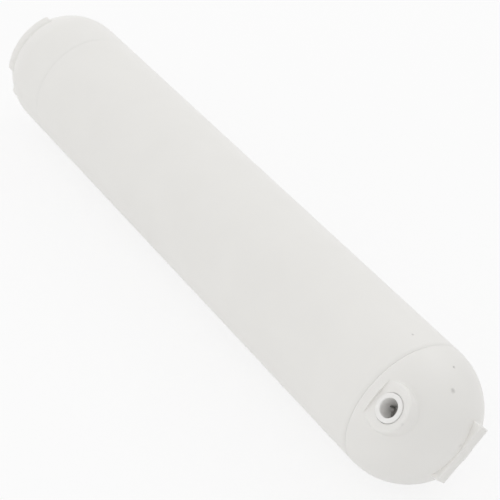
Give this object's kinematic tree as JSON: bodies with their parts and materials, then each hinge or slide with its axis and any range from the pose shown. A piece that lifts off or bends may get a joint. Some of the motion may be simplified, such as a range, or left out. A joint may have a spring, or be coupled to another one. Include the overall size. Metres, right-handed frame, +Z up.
{
  "type": "reverse osmosis prefilter cartridge",
  "caption": "Sealed white cylindrical water prefilter with domed ends, a push-in tube port on each end cap, a key fin and a wrapped carbon block element inside.",
  "frame": {"origin": "on the ground below the middle of the can's overall length, with the can lying on its side", "axes": "+X along the can from the outlet end to the inlet end, +Z up"},
  "size_m": [0.2888, 0.0508, 0.0508],
  "materials": {
    "housing_plastic": "satin white",
    "collet_plastic": "satin white",
    "element_plastic": "natural",
    "wrap_felt": "non-woven felt",
    "carbon": "pressed carbon",
    "tooth_steel": "spring steel",
    "seal_rubber": "moulded"
  },
  "bodies": {
    "can": {"housing_tube": "housing_plastic", "inlet_cap": "housing_plastic", "outlet_cap": "housing_plastic", "sediment_wrap": "wrap_felt", "carbon_block": "carbon", "core_sleeve": "element_plastic", "inlet_element_cap": "element_plastic", "outlet_element_cap": "element_plastic", "nozzle_seal": "seal_rubber", "inlet_port_seal": "seal_rubber", "outlet_port_seal": "seal_rubber"},
    "inlet_release": {"inlet_collet": "collet_plastic", "inlet_grip_teeth": "tooth_steel"},
    "outlet_release": {"outlet_collet": "collet_plastic", "outlet_grip_teeth": "tooth_steel"}
  },
  "joints": [
    {"name": "inlet_collet_press", "type": "slide", "parent": "can", "child": "inlet_release", "axis": [0, 0.6807, -0.7325], "range_m": [0, 0.001]},
    {"name": "outlet_collet_press", "type": "slide", "parent": "can", "child": "outlet_release", "axis": [0, -0.6807, 0.7325], "range_m": [0, 0.001]}
  ]
}
